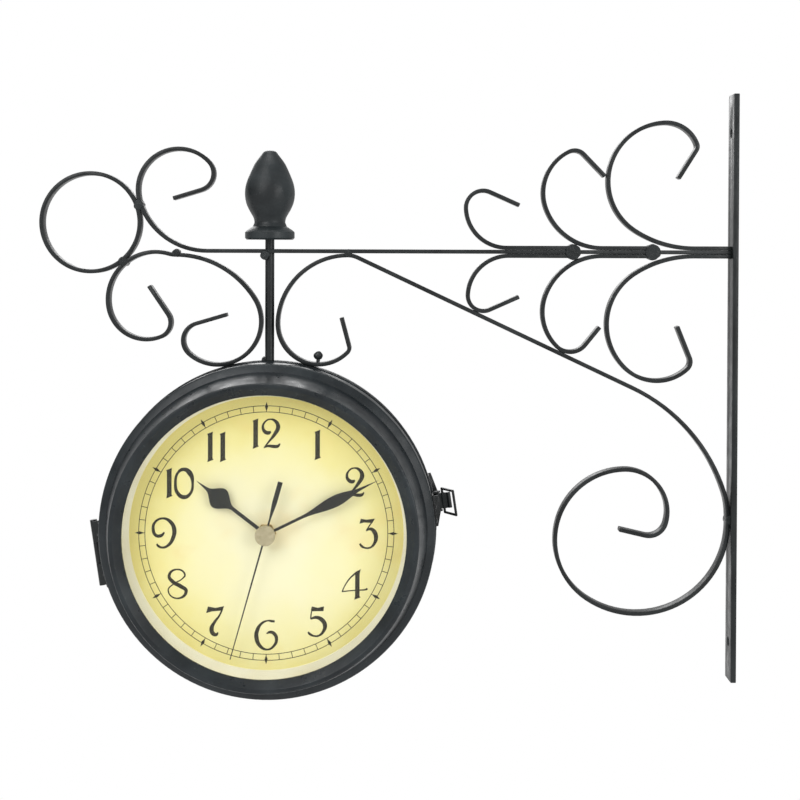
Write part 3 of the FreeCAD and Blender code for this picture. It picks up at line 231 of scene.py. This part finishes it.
def turned_metal(name, light, dark, gloss, rings):
    """Metal turned about the clock's axis, with fine rings and a dull bloom."""
    made = Finish(name, Metallic=0.85, Roughness=gloss)
    wave = made.nodes.new("ShaderNodeTexWave")
    wave.wave_type, wave.rings_direction = "RINGS", "Y"
    wave.inputs["Scale"].default_value = rings
    wave.inputs["Distortion"].default_value = 0.6
    made.links.new(made.stretched((1, 1, 1), (-CENTRE.x, 0, -CENTRE.z)), wave.inputs["Vector"])
    tone = made.sums("ADD", made.sums("MULTIPLY", wave.outputs["Fac"], 0.25),
                     made.sums("MULTIPLY", made.noise(500, 5.0), 0.75))
    made.feed("Base Color", made.ramp(tone, (0.25, dark), (0.75, light)))
    return made.lumps((1500, 1.0), distance=0.00002).material


def plated_steel(name, light, dark):
    """Plated sheet steel with a faint rolling grain."""
    made = Finish(name, Metallic=0.9, Roughness=0.36)
    along = made.noise(90, 4.0, 0.6, 0.0, made.stretched((1, 1, 14)))
    made.feed("Base Color", made.ramp(along, (0.3, dark), (0.75, light)))
    return made.lumps((800, 1.0), distance=0.00002).material


def moulded_plastic(name, light, dark, gloss):
    """Moulded plastic with a fine spark-eroded skin."""
    made = Finish(name, Roughness=gloss)
    made.feed("Base Color", made.ramp(made.noise(220, 4.0), (0.3, dark), (0.75, light)))
    return made.lumps((2600, 1.0), (300, 0.4), distance=0.00004).material


IRON = black_paint("painted_iron", paint(16, 19, 20), paint(34, 38, 39), 0.36, 420, 0.00022)
WELDED = black_paint("painted_weld", paint(14, 17, 18), paint(42, 47, 48), 0.34, 700, 0.0007)
CASTING = black_paint("painted_casting", paint(22, 26, 28), paint(46, 52, 54), 0.40, 520, 0.00016)
SPUN = black_paint("painted_case", paint(20, 25, 28), paint(38, 44, 47), 0.33, 380, 0.00008)
FITTING = black_paint("painted_fittings", paint(14, 16, 17), paint(34, 38, 39), 0.32, 640, 0.0001)
PAPER, ENAMEL, INK, GLASS, HANDS = (dial_paper(), rim_enamel(), printing_ink(), clear_glass(),
                                    hand_enamel())
CAP = turned_metal("satin_cap", paint(226, 214, 178), paint(176, 164, 128), 0.38, 420)
BRASS = turned_metal("turned_brass", paint(214, 180, 104), paint(160, 126, 62), 0.3, 700)
STEEL = plated_steel("zinc_plate", paint(200, 202, 204), paint(150, 152, 155))
NICKEL = plated_steel("nickel_plate", paint(220, 218, 210), paint(170, 168, 160))
BLACK_PLASTIC = moulded_plastic("movement_plastic", paint(44, 44, 46), paint(28, 28, 30), 0.5)
PALE_PLASTIC = moulded_plastic("knob_plastic", paint(232, 230, 222), paint(208, 206, 198), 0.45)
JACKET = moulded_plastic("battery_jacket", paint(78, 84, 92), paint(52, 56, 62), 0.28)
RUBBER = moulded_plastic("gasket_rubber", paint(40, 40, 40), paint(24, 24, 24), 0.75)

BY_SLOT = {
    "bracket_paint": IRON, "finial_paint": CASTING, "case_paint": SPUN, "fittings": FITTING,
    "glass": GLASS, "dial_ring": ENAMEL, "dial_print": PAPER, "retainer_steel": STEEL,
    "movement_plastic": BLACK_PLASTIC, "battery_jacket": JACKET, "contact_steel": NICKEL,
    "bush_brass": BRASS, "gasket_rubber": RUBBER, "knob_plastic": PALE_PLASTIC,
    "hand_paint": HANDS, "cap_metal": CAP}


# ---- the solids, with soft edges ----------------------------------------------------------------

SAME_POINT = 2e-6                             # corners this close are one, in metres
FLAT = math.radians(0.4)                      # faces that bend less are one face
CREASE = math.radians(32)                     # edges that bend more are sharp
CREASE_EASED = math.radians(50)               # the same, once the edges are eased
WELD_RIPPLE = 0.55 * MM                       # height of the ripples on a weld
WELD_GRAIN = 420                              # ripples for each metre


def as_piece(name, form, finish):
    """An object at the origin from a bmesh, wearing one finish."""
    mesh = bpy.data.meshes.new(name)
    form.to_mesh(mesh)
    form.free()
    mesh.materials.append(finish)
    piece = bpy.data.objects.new(name, mesh)
    bpy.context.scene.collection.objects.link(piece)
    return piece


def sharper(form, limit):
    """The edges between two faces that bend more than the limit."""
    return [line for line in form.edges
            if len(line.link_faces) == 2 and line.calc_face_angle(0.0) > limit]


def dressed(node, finish, edge):
    """A merged, smooth copy of a solid, its sharp edges eased, that stands for the solid."""
    form = bmesh.new()
    form.from_mesh(frame["nodes"][node].data)
    bmesh.ops.remove_doubles(form, verts=form.verts, dist=SAME_POINT)
    bmesh.ops.dissolve_limit(form, angle_limit=FLAT, verts=form.verts, edges=form.edges)
    if finish is WELDED:
        bmesh.ops.subdivide_edges(form, edges=form.edges, cuts=1, use_grid_fill=True)
        form.normal_update()
        for knot in form.verts:
            knot.co += knot.normal * WELD_RIPPLE * noise.noise(knot.co * WELD_GRAIN)
    sharp = sharper(form, CREASE)
    if edge:
        bmesh.ops.bevel(form, geom=sharp, offset=edge, affect="EDGES", segments=2, profile=0.5,
                        material=-1, clamp_overlap=True)
        sharp = sharper(form, CREASE_EASED)
    for face in form.faces:
        face.smooth = True
    for line in sharp:
        line.smooth = False
    piece = as_piece(node + "_skin", form, finish)
    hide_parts(node)
    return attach(piece, body_of[node])


BARS = ["arm_bar", "left_scroll", "brace_scroll", "small_scroll_upper", "small_scroll_lower",
        "middle_scroll_upper", "middle_scroll_lower", "large_scroll_upper",
        "large_scroll_lower", "end_ring"]
SHEET = ["hinge_leaf_rear", "hinge_leaf_door", "latch_base", "latch_keeper", "latch_lever"]
EASED = {"wall_plate": 0.4 * MM,              # how far each sharp edge is rounded
         **{node: 0.35 * MM for node in BARS}, **{node: 0.2 * MM for node in SHEET}}
PLAIN = ["front_glass", "rear_glass", "front_dial", "rear_dial"]    # kept as the CAD made them
for node, solid in frame["nodes"].items():
    finish = BY_SLOT[slot_of[node]]
    if node in ("weld_beads", "foot_rivet"):
        finish = WELDED
    if node in PLAIN:
        solid.data.materials.clear()
        solid.data.materials.append(finish)
    else:
        dressed(node, finish, EASED.get(node, 0.0))


# ---- printing on the dials ----------------------------------------------------------------------

LIFT = 0.04 * MM                              # ink above the paper
FIGURE = 16.4 * MM                            # height of a figure
FIGURES_OUT = 54.8 * MM                       # from the dial's centre to a numeral's middle
WIDE_OUT = 53.4 * MM                          # the same for the numerals of two figures
CIRCLES = (65.1 * MM, 68.4 * MM)              # minute track
LINE = 0.36 * MM                              # width of its lines
MARK_WIDE, MARK_LONG = 0.85 * MM, 2.6 * MM    # half the width and length of an hour mark
MARK_IN = 0.5 * MM                            # its middle, inside the outer circle
NARROW, WIDE = 0.26, 0.41                     # room for a 1, in figure heights; wide in an 11


def stroke(points, closed=False):
    """A pen stroke that swells and thins: points are (along, up, half width) in figure heights."""
    path = bpy.data.curves.new("pen", "CURVE")
    path.dimensions = "3D"
    path.bevel_depth, path.bevel_resolution, path.resolution_u = 1.0, 1, 5
    path.use_fill_caps = True
    spline = path.splines.new("BEZIER")
    spline.bezier_points.add(len(points) - 1)
    for knot, (along, up, half) in zip(spline.bezier_points, points):
        knot.co, knot.radius = (along, up, 0), half
        knot.handle_left_type = knot.handle_right_type = "AUTO"
    spline.use_cyclic_u = closed
    holder = bpy.data.objects.new("pen", path)
    form = bmesh.new()
    form.from_mesh(bpy.data.meshes.new_from_object(holder))
    bpy.data.objects.remove(holder)
    bmesh.ops.scale(form, vec=(1, 1, 0.002), verts=form.verts)
    return form


def patch(corners):
    """A flat shape with straight sides."""
    form = bmesh.new()
    form.faces.new([form.verts.new((along, up, 0)) for along, up in corners])
    return form


STEM = [(-.10, .925), (.09, 1.0), (.078, .88), (.078, .13), (.11, .085), (-.095, 0),
        (-.075, .11), (-.075, .87)]
FIGURES = {
    "0": [(.32, .955, .06), (.51, .84, .085), (.605, .50, .04), (.52, .15, .045),
          (.32, .045, .07), (.12, .17, .06), (.045, .50, .045), (.13, .85, .04)],
    "2": [(.338, .575, .03), (.27, .53, .06), (.17, .55, .062), (.08, .68, .045),
          (.135, .875, .028), (.324, .975, .025), (.51, .89, .055), (.575, .72, .072),
          (.46, .48, .055), (.28, .25, .03), (.12, .045, .02)],
    "3": [(.28, .585, .014), (.42, .65, .05), (.55, .55, .072), (.60, .39, .07), (.56, .20, .05),
          (.42, .045, .03), (.25, .03, .028), (.13, .09, .042), (.07, .17, .03)],
    "5": [(.13, .585, .025), (.30, .64, .05), (.50, .56, .07), (.60, .39, .07), (.56, .20, .05),
          (.41, .045, .032), (.24, .03, .03), (.11, .09, .042), (.05, .16, .03)],
    "6": [(.67, .95, .035), (.56, .96, .04), (.45, .975, .025), (.24, .88, .04), (.10, .66, .062),
          (.073, .42, .072), (.18, .155, .058), (.43, .025, .03), (.65, .155, .042),
          (.73, .36, .052), (.66, .54, .058), (.53, .60, .048), (.40, .55, .02)],
    "7": [(.55, .92, .025), (.44, .68, .03), (.28, .46, .045), (.19, .26, .07), (.24, .095, .07),
          (.35, .065, .05), (.40, .14, .018)],
    "8": [(.32, .975, .025), (.07, .78, .048), (.19, .57, .062), (.45, .42, .066),
          (.63, .26, .055), (.33, .025, .026), (.04, .28, .022), (.22, .50, .02),
          (.50, .67, .02), (.585, .81, .03)],
    "9": [(.41, .52, .025), (.30, .41, .055), (.13, .42, .052), (.045, .60, .052), (.09, .83, .04),
          (.34, .975, .034), (.60, .87, .058), (.73, .62, .072), (.69, .33, .062),
          (.53, .09, .045), (.33, .02, .034), (.20, .08, .042), (.16, .14, .025)],
}
EXTRA = {
    "2": [stroke, [(.11, .04, .018), (.24, .10, .04), (.43, .085, .055), (.57, .10, .05),
                   (.64, .18, .018)]],
    "3": [stroke, [(.52, .95, .02), (.38, .75, .022), (.28, .59, .018)],
          patch, [(.06, .82), (.10, .984), (.287, .955), (.566, .992), (.48, .845), (.205, .862)]],
    "4": [patch, [(.445, .90), (.64, 1.0), (.60, .85), (.60, .12), (.63, .075), (.43, 0),
                  (.455, .12), (.455, .80)],
          stroke, [(.47, .88, .028), (.25, .66, .022), (.10, .42, .018), (.03, .265, .018)],
          stroke, [(.02, .265, .02), (.35, .30, .018), (.60, .315, .02), (.78, .33, .026),
                   (.86, .36, .035)]],
    "5": [stroke, [(.17, .88, .02), (.145, .72, .02), (.135, .59, .022)],
          patch, [(.14, .89), (.17, 1.0), (.36, .955), (.57, 1.0), (.55, .848), (.19, .838)]],
    "7": [patch, [(.01, .77), (.07, .985), (.32, .94), (.60, 1.0), (.545, .855), (.20, .825)]],
}


def laid(into, form, move):
    """Add a shape to a bmesh, moved; the shape is used up."""
    bmesh.ops.transform(form, matrix=move, verts=form.verts)
    mesh = bpy.data.meshes.new("laid")
    form.to_mesh(mesh)
    form.free()
    into.from_mesh(mesh)
    bpy.data.meshes.remove(mesh)


def numeral(text):
    """One hour numeral, one figure high, its middle at the origin."""
    whole = bmesh.new()
    pen = 0.0
    for sign in text:
        if sign == "1":
            laid(whole, patch(STEM), Matrix.Translation((pen + .10, 0, 0)))
            pen += WIDE if text == "11" else NARROW
            continue
        start = Matrix.Translation((pen, 0, 0))
        if sign in FIGURES:
            laid(whole, stroke(FIGURES[sign], closed=sign in "08"), start)
        extra = EXTRA.get(sign, [])
        for make, points in zip(extra[::2], extra[1::2]):
            laid(whole, make(points), start)
    spread = [v.co.x for v in whole.verts]
    middle = Vector(((min(spread) + max(spread)) / 2, 0.5, 0))
    bmesh.ops.translate(whole, vec=-middle, verts=whole.verts)
    bmesh.ops.scale(whole, vec=(FIGURE, FIGURE, FIGURE), verts=whole.verts)
    return whole


def hoop(radius):
    """A flat printed circle."""
    form = bmesh.new()
    ends = [form.verts.new((radius + side * LINE / 2, 0, 0)) for side in (-1, 1)]
    bmesh.ops.spin(form, geom=[*ends, form.edges.new(ends)], axis=(0, 0, 1), cent=(0, 0, 0),
                   angle=math.tau, steps=180, use_merge=True, use_duplicate=False)
    bmesh.ops.recalc_face_normals(form, faces=form.faces)
    return form


def tick():
    """One line across the minute track."""
    form = bmesh.new()
    bmesh.ops.create_grid(form, x_segments=1, y_segments=1, size=0.5)
    bmesh.ops.scale(form, vec=(LINE, CIRCLES[1] - CIRCLES[0], 1), verts=form.verts)
    return form


def hour_mark():
    """A slim diamond across the outer circle."""
    form = bmesh.new()
    bmesh.ops.create_circle(form, segments=4, radius=1, cap_ends=True)
    bmesh.ops.scale(form, vec=(MARK_WIDE, MARK_LONG, 1), verts=form.verts)
    return form


def dial_printing(side):
    """Minute track, hour marks and numerals of one dial, laid flat and then stood up."""
    whole = bmesh.new()
    for radius in CIRCLES:
        laid(whole, hoop(radius), Matrix.Identity(4))
    at_tick = Matrix.Translation((0, sum(CIRCLES) / 2, 0))
    at_mark = Matrix.Translation((0, CIRCLES[1] - MARK_IN, LIFT / 3))
    for minute in range(60):
        turn = Matrix.Rotation(-math.tau * minute / 60, 4, "Z")
        laid(whole, tick(), turn @ at_tick)
        if minute % 5 == 0:
            laid(whole, hour_mark(), turn @ at_mark)
    for hour in range(1, 13):
        angle = math.tau * hour / 12
        out = WIDE_OUT if hour >= 10 else FIGURES_OUT
        laid(whole, numeral(str(hour)),
             Matrix.Translation((out * math.sin(angle), out * math.cos(angle), LIFT / 2)))
    upright = Matrix.Rotation(math.pi / 2, 4, "X")
    if side == "rear":
        upright = Matrix.Rotation(math.pi, 4, "Z") @ upright
    way = -1 if side == "front" else 1
    stand = Matrix.Translation(CENTRE + Vector((0, way * (FACE + LIFT), 0)))
    bmesh.ops.transform(whole, matrix=stand @ upright, verts=whole.verts)
    piece = as_piece(f"{side}_dial_printing", whole, INK)
    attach(piece, body_of[f"{side}_dial"])


dial_printing("front")
dial_printing("rear")


# ---- floor, light and camera --------------------------------------------------------------------

FLOOR = -0.42                                 # height of the floor, well below the plate
SKYLIGHT = 0.6                                # how strongly the white surroundings light the clock


def seen_white(finish):
    """Let the camera, glass and metal see this surface as plain white."""
    path = finish.nodes.new("ShaderNodeLightPath")
    seen = path.outputs["Is Camera Ray"]
    for other in ("Is Glossy Ray", "Is Transmission Ray"):
        seen = finish.sums("MAXIMUM", seen, path.outputs[other])
    glow = finish.nodes.new("ShaderNodeEmission")
    glow.inputs["Color"].default_value = grey(1.0)
    blend = finish.nodes.new("ShaderNodeMixShader")
    finish.links.new(seen, blend.inputs["Fac"])
    finish.links.new(finish.shader.outputs["BSDF"], blend.inputs[1])
    finish.links.new(glow.outputs["Emission"], blend.inputs[2])
    finish.links.new(blend.outputs["Shader"], finish.nodes["Material Output"].inputs["Surface"])
    return finish.material


pale = Finish("pale_floor", Roughness=0.9)
pale.feed("Base Color", pale.ramp(pale.noise(3, 3.0), (0.3, grey(0.88)), (0.8, grey(0.92))))
ground = bmesh.new()
bmesh.ops.create_grid(ground, x_segments=1, y_segments=1, size=6)
bmesh.ops.translate(ground, vec=(0, 0, FLOOR), verts=ground.verts)
as_piece("floor", ground, seen_white(pale))

world = bpy.data.worlds.new("studio")
bpy.context.scene.world = world
world.use_nodes = True
sky, skies = world.node_tree.nodes, world.node_tree.links
path = sky.new("ShaderNodeLightPath")
either = sky.new("ShaderNodeMath")
either.operation = "MAXIMUM"
skies.new(path.outputs["Is Camera Ray"], either.inputs[0])
skies.new(path.outputs["Is Transmission Ray"], either.inputs[1])
strength = sky.new("ShaderNodeMapRange")
strength.inputs["To Min"].default_value = SKYLIGHT
strength.inputs["To Max"].default_value = 1.0
skies.new(either.outputs["Value"], strength.inputs["Value"])
skies.new(strength.outputs["Result"], sky["Background"].inputs["Strength"])
sky["Background"].inputs["Color"].default_value = grey(1.0)


def softbox(name, place, size, power):
    """A square lamp that looks at the upper part of the clock."""
    lamp = bpy.data.lights.new(name, "AREA")
    lamp.shape, lamp.size, lamp.energy = "SQUARE", size, power
    holder = bpy.data.objects.new(name, lamp)
    holder.location = place
    aim = Vector((CENTRE.x, 0, 0)) - Vector(place)
    holder.rotation_euler = aim.to_track_quat("-Z", "Y").to_euler()
    bpy.context.scene.collection.objects.link(holder)


softbox("key", (-1.0, -1.3, 0.9), 1.1, 15)
softbox("fill", (0.9, -1.2, 0.3), 0.9, 8.5)
softbox("top", (-0.3, -0.1, 1.4), 0.8, 7)
softbox("back", (-0.5, 1.4, 0.7), 0.9, 7)

camera = bpy.data.cameras.new("camera")
camera.lens, camera.sensor_width = 76.01, 36.0
camera.shift_x, camera.shift_y = -0.0095, -0.1504
camera.clip_start = 0.05
eye = bpy.data.objects.new("camera", camera)
eye.location = (-0.1793, -0.9222, 0.0747)
eye.rotation_euler = (math.radians(90 - 1.0), math.radians(-0.19), 0)
bpy.context.scene.collection.objects.link(eye)
bpy.context.scene.camera = eye
bpy.context.scene.view_settings.view_transform = "Standard"
